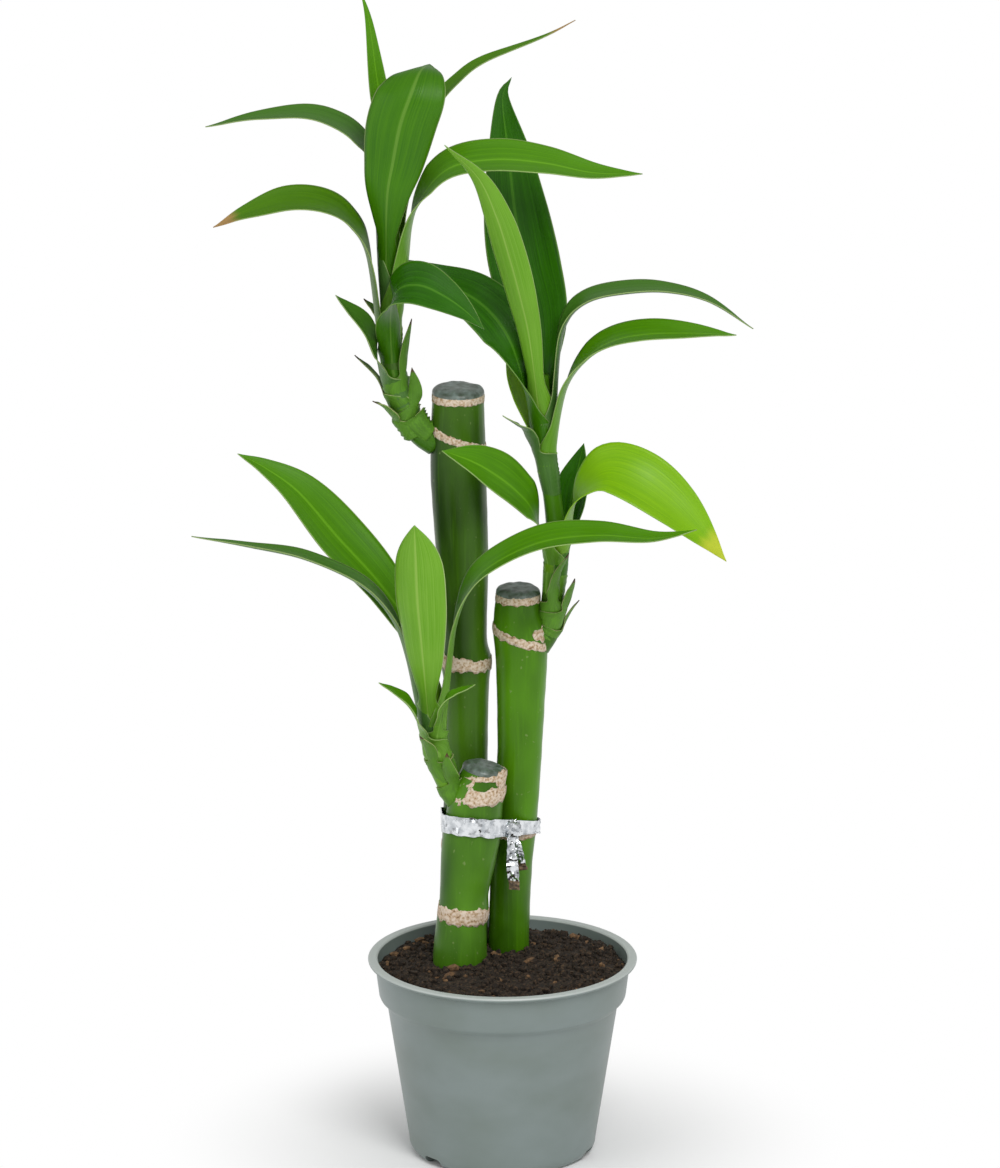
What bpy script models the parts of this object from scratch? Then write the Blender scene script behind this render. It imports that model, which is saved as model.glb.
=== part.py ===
"""Lucky bamboo in a nursery pot: three cut canes with leafy side shoots, held by a foil tie.

Sizes are in millimetres, and MM turns them to metres where a mesh is made. +Z is up, -Y is the front and
+X is the right. The origin is the centre of the pot's underside. Canes, shoots and leaves follow routes
whose points are chosen by hand, and a smooth curve is drawn through them.
"""

import math
from typing import NamedTuple

import bmesh
import bpy
from mathutils import Vector

MM = 0.001
GAP = 0.3                      # left between neighbours that touch

# Pot: a 9 cm thermoformed nursery pot
POT_HEIGHT = 67.5
POT_LIP_RADIUS = 45.0
POT_BAND_RADIUS = 42.6         # the collar under the lip, at its top
POT_BAND_BOTTOM_RADIUS = 41.3
POT_BAND_HEIGHT = 13.0
POT_WALL_TOP_RADIUS = 38.6
POT_WALL_BOTTOM_RADIUS = 31.3
POT_FOOT_RADIUS = 28.0
POT_CORNER = 4.5               # height of the rounded foot corner
POT_WALL = 0.9
POT_SIDES = 40
NOTCH_COUNT = 6
NOTCH_FIRST_ANGLE = 220.0
NOTCH_WIDTH = 8.0
NOTCH_HEIGHT = 3.0

# Soil: fills the pot and is gently domed
SOIL_EDGE_HEIGHT = 63.0
SOIL_MIDDLE_HEIGHT = 66.5
SOIL_RINGS = 4

# Canes
CANE_SIDES = 16
CANE_BOTTOM = 22.0             # the cut foot of each cane, deep in the soil
WAX_THICKNESS = 2.6

# Shoots and leaves
SHOOT_SIDES = 10
SHOOT_STATIONS = 12
BLADE_THICKNESS = 0.8
BLADE_CUP = 0.12               # how far the edges stand above the midrib, as a part of the width
LEAF_STATIONS = 10
SCALE_STATIONS = 5

# Foil tie: a strip round all three canes on a slightly tilted plane
TIE_HEIGHT = 112.9
TIE_TILT = (-0.085, -0.22)     # rise of the plane along X and along Y
TIE_WIDTH = 6.0
TIE_THICKNESS = 0.8
TIE_STATIONS = 36
TIE_SLACK = 0.4                # the round canes stand out between the band's corners
KNOT_PLACE = (3.3, -1.2, 112.5)
KNOT_RADII = (3.2, 2.4, 3.4)


class Cane(NamedTuple):
    """A cut cane: (x, y, z, radius) from foot to cut top."""
    route: tuple


class Shoot(NamedTuple):
    """A leafy side shoot with its sheaths: (x, y, z, radius) from the cane outwards."""
    cane: str
    route: tuple


class Blade(NamedTuple):
    """A leaf blade, or a short scale leaf, that grows from a shoot."""
    shoot: str
    height: float               # where its base meets the shoot
    facing: float               # side of the shoot it grows from, in degrees from +X
    width: float
    roll: float                 # turn of the blade about its own length, in degrees
    widest: float               # where it is widest, as a part of its length
    points: tuple               # (x, y, z) after the base, the last one at the tip
    neck: float = 0.38          # width at the base, as a part of the greatest width
    heading: float | None = None    # way the blade turns to, in degrees; None is from its base to its tip


CANES = {
    "tall": Cane(((-13.5, 18, CANE_BOTTOM, 8.2), (-13.2, 18, 64, 8.4), (-13, 18, 100, 7.4),
                  (-12.5, 18, 112, 7.3), (-12, 18, 145, 7.2), (-12, 18, 158, 7.6), (-12.2, 18, 166, 8.5),
                  (-12.6, 18, 174, 7.4), (-13.3, 18, 200, 8.6), (-14.5, 18, 226, 9.2),
                  (-14.8, 18, 243, 9.1), (-14.7, 18, 258.7, 8.4))),
    "middle": Cane(((2, 12.5, CANE_BOTTOM, 6.8), (2, 12.5, 64, 6.8), (3, 12.5, 95, 6.9),
                    (4.3, 12.5, 112, 7.3), (5.6, 12.5, 133, 7.4), (6.1, 12.5, 153, 8.0),
                    (6.3, 12.5, 170, 8.7), (5.6, 12.5, 178, 8.8), (5, 12.5, 184, 7.8),
                    (5.2, 12.5, 191, 7.2))),
    "short": Cane(((-14.5, -1, CANE_BOTTOM, 8.6), (-14.2, -1, 64, 9.0), (-13.8, -0.5, 78, 8.5),
                   (-13, 0, 84, 8.4), (-12.7, 0, 91, 8.2), (-11.4, 0, 102, 9.2), (-10, 0, 112, 9.6),
                   (-8.9, 0, 121, 9.0), (-7.6, 0, 126, 8.6), (-6, 0, 133, 7.3))),
}

SHOOTS = {
    "tall": Shoot("tall", ((-22, 17, 241, 4.6), (-27, 17, 245, 4.8), (-32, 17, 252, 4.6),
                           (-35.5, 17, 263, 4.2), (-37, 17, 278, 3.7), (-37, 17, 294, 3.6),
                           (-37, 17, 310, 3.3), (-37, 17, 320, 2.6))),
    "middle": Shoot("middle", ((12, 12.5, 172, 4.2), (15.5, 12.5, 179, 4.3), (17, 12.5, 192, 4.0),
                               (18, 12.5, 207, 3.7), (16.8, 12.5, 222, 3.3), (14.4, 12.5, 238, 3.4),
                               (13.2, 12.5, 252, 3.8), (12.8, 12.5, 266, 2.8))),
    "short": Shoot("short", ((-15, 0, 122, 4.2), (-18.5, -0.5, 130, 4.4), (-21.5, -1.5, 138, 4.4),
                             (-23, -2, 148, 4.0), (-23.8, -2, 158, 3.7), (-24, -2, 166, 2.8))),
}

LEAVES = {
    "tall_top": Blade("tall", 312, 110, 8, 0, 0.35,
                      ((-38, 21, 344), (-41, 22, 362), (-44, 23, 384), (-47, 24, 395)), 0.38, 100),
    "tall_wide": Blade("tall", 304, 250, 24, 0, 0.66,
                       ((-38, 5, 328), (-36, 4, 341), (-33.5, 3, 354), (-30, 4, 364), (-27, 10, 370),
                        (-24, 20, 370)), 0.15, 262),
    "tall_back_right": Blade("tall", 308, 60, 13, 20, 0.28,
                             ((-31, 25, 341), (-23, 26, 354), (-15, 26, 363), (-6, 26, 370), (14, 27, 378),
                              (24, 28, 383))),
    "tall_right_arch": Blade("tall", 288, 300, 18, 23, 0.6,
                             ((-30.5, 13, 315), (-26, 11, 328), (-17, 8, 338), (-2, 7, 341), (14, 6, 340),
                              (30, 5, 337), (46, 4, 337))),
    "tall_high_left": Blade("tall", 302, 175, 15, -8, 0.5,
                            ((-43, 21, 335), (-48, 22, 344), (-55, 23, 349), (-66, 23, 352), (-82, 23, 351),
                             (-98, 23, 348))),
    "tall_low_left": Blade("tall", 278, 195, 17, -22, 0.55,
                           ((-45, 11, 308), (-51, 8, 320), (-59, 5, 326), (-71, 2, 328), (-84, -1, 325),
                            (-95, -4, 321))),
    "tall_front": Blade("tall", 272, 270, 17, 50, 0.5,
                        ((-37, 4, 290), (-34, -1, 299), (-27, -7, 302), (-19, -13, 300), (-12, -17, 296),
                         (-6, -21, 291))),
    "tall_short_left": Blade("tall", 264, 225, 12, -45, 0.55,
                             ((-43, 7, 277), (-46, 5, 285), (-51, 4, 291), (-55, 3, 296))),
    "middle_tall_back": Blade("middle", 258, 85, 25, 0, 0.42,
                              ((12, 25, 281), (7, 29, 299), (4, 32, 317), (2, 35, 335), (0, 37, 354),
                               (3, 38, 361)), 0.38, 100),
    "middle_front": Blade("middle", 254, 255, 12, 35, 0.55,
                          ((9, 5, 280), (6, 2, 295), (2, -1, 311), (-2, -5, 325), (-8, -8, 339),
                           (-19, -12, 351))),
    "middle_left_dark": Blade("middle", 250, 218, 20, -40, 0.5,
                              ((5, 9, 271), (0, 13, 282), (-9, 19, 290), (-22, 25, 295), (-37, 28, 302))),
    "middle_right_high": Blade("middle", 250, 345, 15, 0, 0.55,
                               ((19, 11, 274), (22, 11, 286), (29, 12, 292), (41, 14, 294), (54, 15, 294),
                                (68, 17, 290), (83, 19, 280))),
    "middle_right_low": Blade("middle", 243, 335, 17, 12, 0.6,
                              ((21, 8, 262), (28, 5, 274), (36, 3, 280), (47, 1, 283), (62, -1, 284),
                               (77, -3, 284))),
    "middle_inner": Blade("middle", 244, 140, 12, 0, 0.5,
                          ((7, 19, 257), (4, 22, 266), (3, 24, 276))),
    "middle_curl": Blade("middle", 238, 225, 8, 0, 0.5,
                         ((8, 6, 248), (5, 4, 251), (0, 2, 255))),
    "middle_low_left": Blade("middle", 204, 225, 19, -52, 0.6,
                             ((10, 4, 221), (5, 0, 229), (-2, -4, 236), (-10, -8, 242), (-20, -12, 247))),
    "middle_low_right": Blade("middle", 207, 322, 21, 42, 0.55,
                              ((24, 4, 224), (29, 1, 233), (36, -1, 237), (46, -4, 234), (57, -6, 226),
                               (67, -8, 216), (74, -9, 208))),
    "middle_low_back": Blade("middle", 206, 50, 13, 20, 0.5,
                             ((23, 18, 222), (25, 20, 231), (27, 21, 240))),
    "short_long_left": Blade("short", 150, 192, 15, 4, 0.5,
                             ((-32, -1, 172), (-37, -1, 186), (-47, -2, 198), (-65, -3, 207), (-84, -2, 211),
                              (-103, 0, 214))),
    "short_broad_left": Blade("short", 155, 105, 21, -30, 0.6,
                              ((-27, 10, 172), (-34, 13, 184), (-43, 14, 196), (-55, 16, 209), (-68, 18, 224),
                               (-79, 19, 232), (-88, 19, 237)), 0.25),
    "short_centre": Blade("short", 154, 255, 20, 0, 0.65,
                          ((-26, -13, 172), (-27, -15, 184), (-28, -16, 196), (-28.5, -16, 208),
                           (-29, -14, 222)), 0.2),
    "short_right_arch": Blade("short", 150, 335, 17, 16, 0.6,
                              ((-17, -5, 171), (-15, -9, 187), (-10, -12, 201), (-1, -15, 210),
                               (14, -16, 217), (32, -16, 219), (50, -16, 218), (64, -16, 221))),
    "short_small_left": Blade("short", 144, 232, 10, -20, 0.55,
                              ((-30, -11, 157), (-35, -12, 163), (-41, -12, 167))),
    "short_small_right": Blade("short", 146, 282, 7, 20, 0.6,
                               ((-19, -13, 160), (-15, -14, 164), (-9, -14, 167))),
}

SCALES = {
    "tall_left_low": Blade("tall", 249, 215, 8, 0, 0.4, ((-39, 11, 255), (-43, 9, 258))),
    "tall_left_high": Blade("tall", 256, 158, 5, 0, 0.4, ((-42, 21, 263), (-49, 19, 271))),
    "tall_right": Blade("tall", 254, 315, 5, 0, 0.4, ((-29, 12, 262), (-30, 11, 269))),
    "tall_front": Blade("tall", 264, 300, 4, 0, 0.4, ((-32, 11, 276), (-30, 10, 286))),
    "tall_back": Blade("tall", 280, 140, 4, 0, 0.4, ((-42, 22, 285), (-46, 24, 289))),
    "middle_front": Blade("middle", 188, 270, 6, 0, 0.4, ((18, 4.5, 198), (22, 4, 207))),
    "middle_right": Blade("middle", 184, 330, 6, 0, 0.4, ((22.5, 9, 191), (24, 8, 197))),
    "middle_low": Blade("middle", 178, 20, 6, 0, 0.4, ((23, 14, 184), (25.5, 13, 188))),
    "short_low": Blade("short", 129, 300, 6, 0, 0.4, ((-18, -9, 136), (-18.5, -10, 142))),
    "short_high": Blade("short", 136, 250, 5, 0, 0.4, ((-24.5, -10, 144), (-27.5, -14, 149))),
}


def clear_scene() -> None:
    """Remove every object that the file starts with."""
    for item in list(bpy.data.objects):
        bpy.data.objects.remove(item, do_unlink=True)


def material(name: str, colour: tuple, roughness: float, metallic: float = 0.0):
    """A plain Principled material, with its colour in linear RGB."""
    made = bpy.data.materials.new(name)
    made.use_nodes = True
    shader = made.node_tree.nodes["Principled BSDF"]
    shader.inputs["Base Color"].default_value = (*colour, 1.0)
    shader.inputs["Roughness"].default_value = roughness
    shader.inputs["Metallic"].default_value = metallic
    return made


def add_object(name: str, build: bmesh.types.BMesh, finish=None, smooth: bool = True):
    """Turn a bmesh in millimetres into a named object in metres."""
    bmesh.ops.scale(build, vec=(MM, MM, MM), verts=build.verts)
    bmesh.ops.recalc_face_normals(build, faces=build.faces)
    mesh = bpy.data.meshes.new(name)
    build.to_mesh(mesh)
    build.free()
    if smooth:
        mesh.shade_smooth()
        mesh.set_sharp_from_angle(angle=math.radians(50))
    made = bpy.data.objects.new(name, mesh)
    bpy.context.scene.collection.objects.link(made)
    if finish:
        mesh.materials.append(finish)
    return made


def boolean(target, other, operation: str) -> None:
    """Cut target with other, or join other to it, and hide other."""
    modifier = target.modifiers.new(other.name, "BOOLEAN")
    modifier.operation = operation
    modifier.object = other
    modifier.solver = "EXACT"
    other.hide_render = True
    other.display_type = "WIRE"


def curve_through(points: tuple, count: int) -> list[Vector]:
    """Points evenly spaced along a smooth curve through the given points.

    A point may carry more numbers than x, y and z, such as a radius, which are smoothed with it.
    """
    knots = [Vector(point) for point in points]
    knots = [2 * knots[0] - knots[1], *knots, 2 * knots[-1] - knots[-2]]
    fine = []
    for before, start, end, after in zip(knots, knots[1:], knots[2:], knots[3:]):
        for step in range(12):
            t = step / 12
            bend = 2 * before - 5 * start + 4 * end - after
            twist = 3 * start - before - 3 * end + after
            fine.append(0.5 * (2 * start + (end - before) * t + bend * t * t + twist * t ** 3))
    fine.append(knots[-2])
    travelled = [0.0]
    for start, end in zip(fine, fine[1:]):
        travelled.append(travelled[-1] + (end.to_3d() - start.to_3d()).length)
    result = []
    place = 0
    for index in range(count):
        wanted = travelled[-1] * index / (count - 1)
        while place < len(fine) - 2 and travelled[place + 1] < wanted:
            place += 1
        step = travelled[place + 1] - travelled[place]
        result.append(fine[place].lerp(fine[place + 1], min(1.0, (wanted - travelled[place]) / step)))
    return result


def tangents(path: list[Vector]) -> list[Vector]:
    """Unit direction of a path at each of its points."""
    ahead = path[1:] + [path[-1]]
    behind = [path[0]] + path[:-1]
    return [(after.to_3d() - before.to_3d()).normalized() for before, after in zip(behind, ahead)]


def loft(rings: list[list[Vector]], closed: bool = False) -> bmesh.types.BMesh:
    """Join rings of points with quads, and cap both ends unless the rings close on themselves."""
    build = bmesh.new()
    rows = [[build.verts.new(point) for point in ring] for ring in rings]
    following = rows[1:] + rows[:1] if closed else rows[1:]
    for row, after in zip(rows, following):
        for corner in range(len(row)):
            beside = (corner + 1) % len(row)
            build.faces.new((row[corner], row[beside], after[beside], after[corner]))
    if not closed:
        build.faces.new(list(reversed(rows[0])))
        build.faces.new(rows[-1])
    return build


def tube(path: list[Vector], sides: int, extra: float = 0.0) -> bmesh.types.BMesh:
    """A round tube along a path whose fourth number is its radius."""
    rings = []
    for point, along in zip(path, tangents(path)):
        across = Vector((0, 1, 0)).cross(along).normalized()
        forward = along.cross(across)
        ring = []
        for side in range(sides):
            angle = 2 * math.pi * side / sides
            outward = across * math.cos(angle) + forward * math.sin(angle)
            ring.append(point.to_3d() + outward * (point[3] + extra))
        rings.append(ring)
    return loft(rings)


def turned(profile: list[tuple], sides: int) -> bmesh.types.BMesh:
    """A solid turned about Z from (radius, height) points that start and end on the axis."""
    build = bmesh.new()
    first = build.verts.new((0, 0, profile[0][1]))
    last = build.verts.new((0, 0, profile[-1][1]))
    rows = []
    for radius, height in profile[1:-1]:
        turns = [2 * math.pi * side / sides for side in range(sides)]
        ring = [(radius * math.cos(turn), radius * math.sin(turn), height) for turn in turns]
        rows.append([build.verts.new(point) for point in ring])
    for side in range(sides):
        beside = (side + 1) % sides
        build.faces.new((first, rows[0][beside], rows[0][side]))
        build.faces.new((last, rows[-1][side], rows[-1][beside]))
        for row, after in zip(rows, rows[1:]):
            build.faces.new((row[side], row[beside], after[beside], after[side]))
    return build


def foot_corner(clearance: float) -> list[tuple]:
    """The rounded foot of the pot's outside, or of a line inside it, from floor to wall."""
    corner = []
    for step in range(4):
        angle = math.pi / 2 * step / 3
        radius = POT_FOOT_RADIUS + (POT_WALL_BOTTOM_RADIUS - POT_FOOT_RADIUS) * math.sin(angle) - clearance
        height = POT_CORNER - (POT_CORNER - clearance) * math.cos(angle)
        corner.append((radius, height))
    return corner


def wall_line(clearance: float) -> list[tuple]:
    """(radius, height) from the floor to the collar, the clearance inside the pot's outer face."""
    shoulder = POT_HEIGHT - POT_BAND_HEIGHT
    return [*foot_corner(clearance),
            (POT_WALL_TOP_RADIUS - clearance, shoulder - 3 + clearance),
            (POT_BAND_BOTTOM_RADIUS - 0.8 - clearance, shoulder - 0.8 + clearance),
            (POT_BAND_BOTTOM_RADIUS - clearance, shoulder + 1 + clearance)]


def make_pot(finish) -> None:
    """The pot: a tapered cup with a collar, a thin lip and drain notches at the foot."""
    outside = [(0, 0), *wall_line(0),
               (POT_BAND_RADIUS, POT_HEIGHT - 2.2), (POT_LIP_RADIUS, POT_HEIGHT - 1.4),
               (POT_LIP_RADIUS, POT_HEIGHT - 0.3), (POT_LIP_RADIUS - 0.6, POT_HEIGHT)]
    inside = [(POT_BAND_RADIUS - POT_WALL + 0.2, POT_HEIGHT), (POT_BAND_RADIUS - POT_WALL, POT_HEIGHT - 1.2),
              *reversed(wall_line(POT_WALL)), (0, POT_WALL)]
    pot = add_object("pot", turned(outside + inside, POT_SIDES), finish)
    for index in range(NOTCH_COUNT):
        turn = math.radians(NOTCH_FIRST_ANGLE + 360 * index / NOTCH_COUNT)
        boolean(pot, notch_cutter(index, turn), "DIFFERENCE")


def notch_cutter(index: int, turn: float):
    """A flat-bottomed arch that cuts one drain notch through the pot's foot corner."""
    half = NOTCH_WIDTH / 2
    arch = [(-half, -1.0), (half, -1.0), (half, 1.2), (half * 0.6, NOTCH_HEIGHT), (-half * 0.6, NOTCH_HEIGHT),
            (-half, 1.2)]
    outward = Vector((math.cos(turn), math.sin(turn), 0))
    across = Vector((-math.sin(turn), math.cos(turn), 0))
    rings = [[outward * radius + across * side + Vector((0, 0, height)) for side, height in arch]
             for radius in (POT_FOOT_RADIUS - 3, POT_WALL_BOTTOM_RADIUS + 2)]
    return add_object(f"notch_cutter_{index}", loft(rings), smooth=False)


def make_soil(finish) -> None:
    """The potting soil: it follows the pot's inside, domes at the top and holds the canes."""
    clearance = POT_WALL + GAP
    side = wall_line(clearance)
    slope = (POT_BAND_RADIUS - POT_BAND_BOTTOM_RADIUS) / POT_BAND_HEIGHT
    top_radius = side[-1][0] + slope * (SOIL_EDGE_HEIGHT - side[-1][1])
    dome = []
    for ring in range(SOIL_RINGS):
        part = ring / SOIL_RINGS
        rise = (SOIL_MIDDLE_HEIGHT - SOIL_EDGE_HEIGHT) * (1 - (1 - part) ** 2)
        dome.append((top_radius * (1 - part), SOIL_EDGE_HEIGHT + rise))
    profile = [(0, clearance), *side, *dome, (0, SOIL_MIDDLE_HEIGHT)]
    soil = add_object("soil", turned(profile, POT_SIDES), finish)
    for name, cane in CANES.items():
        route = [point for point in cane.route if point[2] < TIE_HEIGHT]
        hole = [(*route[0][:2], route[0][2] - GAP, route[0][3]), *route[1:]]
        cutter = add_object(f"soil_hole_{name}", tube([Vector(point) for point in hole], CANE_SIDES, GAP))
        boolean(soil, cutter, "DIFFERENCE")


def make_cane(name: str, cane: Cane, finish, wax) -> None:
    """One cane and the wax that seals its cut top."""
    path = [Vector(point) for point in cane.route]
    add_object(f"cane_{name}", tube(path, CANE_SIDES), finish)
    top = path[-1]
    along = tangents(path)[-1]
    dome = []
    for rise, spread in ((GAP, 1.0), (0.5 * WAX_THICKNESS, 1.02), (0.85 * WAX_THICKNESS, 0.9),
                         (WAX_THICKNESS, 0.6)):
        centre = top.to_3d() + along * rise
        dome.append(Vector((*centre, top[3] * spread)))
    add_object(f"wax_cap_{name}", tube(dome, CANE_SIDES), wax)


def make_shoot(name: str, shoot: Shoot, finish) -> None:
    """One side shoot, saddled on to its cane."""
    stem = add_object(f"shoot_{name}", tube(curve_through(shoot.route, SHOOT_STATIONS), SHOOT_SIDES), finish)
    cane = tube([Vector(point) for point in CANES[shoot.cane].route], CANE_SIDES, GAP)
    boolean(stem, add_object(f"saddle_cutter_{name}", cane), "DIFFERENCE")


def shoot_place(shoot: Shoot, height: float) -> Vector:
    """Centre and radius of a shoot at a height, as (x, y, z, radius)."""
    path = curve_through(shoot.route, 60)
    return min(path, key=lambda point: abs(point[2] - height))


def blade_width(part: float, blade: Blade) -> float:
    """Width of a blade at a part of its length, where 1 is its greatest width."""
    if part < blade.widest:
        return blade.neck + (1 - blade.neck) * math.sin(math.pi / 2 * part / blade.widest) ** 1.5
    fall = max(0.0, math.cos(math.pi / 2 * (part - blade.widest) / (1 - blade.widest)))
    return max(0.04, fall ** 0.8)


def make_blade(name: str, blade: Blade, stations: int, finish) -> None:
    """A thin blade that starts on its shoot's surface and runs along its route."""
    place = shoot_place(SHOOTS[blade.shoot], blade.height)
    facing = math.radians(blade.facing)
    reach = place[3] + GAP + BLADE_THICKNESS + 0.2
    base = place.to_3d() + reach * Vector((math.cos(facing), math.sin(facing), 0))
    path = curve_through((tuple(base), *blade.points), stations)
    travel = (path[-1] - base).to_2d()
    heading = math.atan2(travel.y, travel.x) if blade.heading is None else math.radians(blade.heading)
    swing = (heading - facing + math.pi) % (2 * math.pi) - math.pi
    rings = []
    for index, (point, along) in enumerate(zip(path, tangents(path))):
        part = index / (stations - 1)
        settled = min(1.0, part / 0.4)
        azimuth = facing + swing * settled
        side = Vector((-math.sin(azimuth), math.cos(azimuth), 0))
        side = (side - along * side.dot(along)).normalized()
        upper = along.cross(side)
        roll = math.radians(blade.roll) * settled
        rolled = side * math.cos(roll) + upper * math.sin(roll)
        upper = upper * math.cos(roll) - side * math.sin(roll)
        side = rolled
        half = blade.width / 2 * blade_width(part, blade)
        lift = upper * (2 * half * BLADE_CUP)
        thick = upper * (BLADE_THICKNESS / 2)
        left = point - side * half + lift
        right = point + side * half + lift
        rings.append([left + thick * 0.5, point + thick, right + thick * 0.5,
                      right - thick * 0.5, point - thick, left - thick * 0.5])
    add_object(name, loft(rings), finish)


def cane_radius_at(cane: Cane, height: float) -> Vector:
    """Centre and radius of a cane at a height."""
    for low, high in zip(cane.route, cane.route[1:]):
        if low[2] <= height <= high[2]:
            return Vector(low).lerp(Vector(high), (height - low[2]) / (high[2] - low[2]))
    raise ValueError("the height is off the cane")


def make_tie(finish) -> None:
    """The foil tie: a band stretched round the three canes, a twisted knot and two tails."""
    canes = [cane_radius_at(cane, TIE_HEIGHT) for cane in CANES.values()]
    clearance = GAP + TIE_SLACK
    rings = []
    for index in range(TIE_STATIONS):
        turn = 2 * math.pi * index / TIE_STATIONS
        outward = Vector((math.cos(turn), math.sin(turn), 0))
        touched = max(canes, key=lambda cane: cane.to_3d().dot(outward) + cane[3])
        inner = Vector((touched.x, touched.y, 0)) + outward * (touched[3] + clearance)
        outer = inner + outward * TIE_THICKNESS
        middle = TIE_HEIGHT + inner.x * TIE_TILT[0] + inner.y * TIE_TILT[1]
        low = Vector((0, 0, middle - TIE_WIDTH / 2))
        high = Vector((0, 0, middle + TIE_WIDTH / 2))
        rings.append([inner + low, outer + low, outer + high, inner + high])
    band = add_object("foil_tie", loft(rings, closed=True), finish)
    knot = bmesh.new()
    bmesh.ops.create_icosphere(knot, subdivisions=2, radius=1.0)
    bmesh.ops.scale(knot, vec=KNOT_RADII, verts=knot.verts)
    bmesh.ops.translate(knot, vec=KNOT_PLACE, verts=knot.verts)
    boolean(band, add_object("tie_knot_shape", knot), "UNION")
    tails = (((3.2, -1.6, 112), (3, -3, 106), (3.4, -3.4, 99), (4, -3, 92)),
             ((3.8, -1.4, 112), (4.6, -1.6, 107), (5.6, -1.2, 102), (6.6, -0.8, 98)))
    for index, tail in enumerate(tails):
        path = curve_through(tail, 6)
        rings = [[point + Vector(corner) for corner in ((-1.3, -0.4, 0), (1.3, -0.4, 0), (1.3, 0.4, 0),
                                                        (-1.3, 0.4, 0))] for point in path]
        boolean(band, add_object(f"tie_tail_shape_{index}", loft(rings)), "UNION")


def main() -> None:
    """Build every piece."""
    clear_scene()
    leaf_green = {"tall": (0.10, 0.27, 0.02), "middle": (0.13, 0.30, 0.03), "short": (0.12, 0.26, 0.04)}
    make_pot(material("pot_grey_plastic", (0.22, 0.24, 0.23), 0.5))
    make_soil(material("potting_soil", (0.03, 0.02, 0.014), 0.95))
    make_tie(material("foil_silver", (0.6, 0.61, 0.63), 0.3, 0.9))
    for name, cane in CANES.items():
        make_cane(name, cane, material(f"cane_{name}_green", (0.07, 0.17, 0.02), 0.4),
                  material(f"wax_{name}", (0.12, 0.15, 0.12), 0.35))
    for name, shoot in SHOOTS.items():
        make_shoot(name, shoot, material(f"shoot_{name}_green", (0.10, 0.26, 0.03), 0.45))
    for name, blade in LEAVES.items():
        make_blade(f"leaf_{name}", blade, LEAF_STATIONS,
                   material(f"leaf_{name}_green", leaf_green[blade.shoot], 0.4))
    for name, blade in SCALES.items():
        make_blade(f"scale_{name}", blade, SCALE_STATIONS,
                   material(f"scale_{name}_green", (0.08, 0.12, 0.04), 0.6))


if __name__ == "__main__":
    main()
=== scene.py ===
"""Lucky bamboo in a nursery pot: the visual model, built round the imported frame."""
import logging
import math
import random
from dataclasses import dataclass, field
from enum import Enum
from typing import Callable

import bmesh
import bpy
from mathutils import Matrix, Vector, noise


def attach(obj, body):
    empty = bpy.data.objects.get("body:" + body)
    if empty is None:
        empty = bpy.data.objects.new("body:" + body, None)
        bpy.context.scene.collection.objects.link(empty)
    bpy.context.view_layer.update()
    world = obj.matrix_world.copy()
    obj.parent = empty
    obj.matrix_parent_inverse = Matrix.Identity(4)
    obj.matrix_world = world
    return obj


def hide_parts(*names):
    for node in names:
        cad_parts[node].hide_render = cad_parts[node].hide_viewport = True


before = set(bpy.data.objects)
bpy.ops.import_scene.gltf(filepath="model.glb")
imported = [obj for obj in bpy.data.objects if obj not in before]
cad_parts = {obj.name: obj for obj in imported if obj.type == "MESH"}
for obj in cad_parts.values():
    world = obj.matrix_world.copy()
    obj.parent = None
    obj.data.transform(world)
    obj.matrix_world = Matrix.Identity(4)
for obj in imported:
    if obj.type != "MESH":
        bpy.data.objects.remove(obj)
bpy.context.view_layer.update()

LOG = logging.getLogger("lucky_bamboo")
MM = 0.001
PLANT_GLOSS = 0.22             # thin plant wax reflects less than plastic does
MERGE_DISTANCE = 1e-6          # metres between vertices that count as one
FULL_TURN = 2 * math.pi

Material = bpy.types.Material
Node = bpy.types.Node
Piece = bpy.types.Object
Socket = bpy.types.NodeSocket
Tree = bpy.types.NodeTree
Route = tuple[tuple[float, ...], ...]


def linear(colour: str) -> tuple[float, float, float, float]:
    """Turn an sRGB hex colour to linear RGBA.

    Args:
        colour: the colour as "#rrggbb".
    Returns:
        Linear red, green, blue and an alpha of 1.
    """
    channels = []
    for place in (1, 3, 5):
        part = int(colour[place:place + 2], 16) / 255
        channels.append(part / 12.92 if part <= 0.04045 else ((part + 0.055) / 1.055) ** 2.4)
    return (*channels, 1.0)


def smooth(part: float) -> float:
    """Ease a number from 0 to 1, held at both ends."""
    part = min(1.0, max(0.0, part))
    return part * part * (3 - 2 * part)


def add_node(tree: Tree, kind: str, values: dict | None = None, links: dict | None = None,
             options: dict | None = None) -> Node:
    """Add a shader node.

    Args:
        tree: the material's node tree.
        kind: the node's type name.
        values: input name or number to its value.
        links: input name or number to the output socket that feeds it.
        options: attribute of the node to its value.
    Returns:
        The new node.
    """
    made = tree.nodes.new(kind)
    for name, value in (options or {}).items():
        setattr(made, name, value)
    for name, value in (values or {}).items():
        made.inputs[name].default_value = value
    for name, socket in (links or {}).items():
        tree.links.new(socket, made.inputs[name])
    return made


def calculate(tree: Tree, operation: str, *inputs: Socket | float) -> Socket:
    """The result of a maths node, fed by sockets and plain numbers."""
    made = add_node(tree, "ShaderNodeMath", options={"operation": operation})
    for index, value in enumerate(inputs):
        if isinstance(value, Socket):
            tree.links.new(value, made.inputs[index])
        else:
            made.inputs[index].default_value = value
    return made.outputs[0]


def object_place(tree: Tree) -> Socket:
    """Place on the finished piece, in metres."""
    return add_node(tree, "ShaderNodeTexCoord").outputs["Object"]


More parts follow.
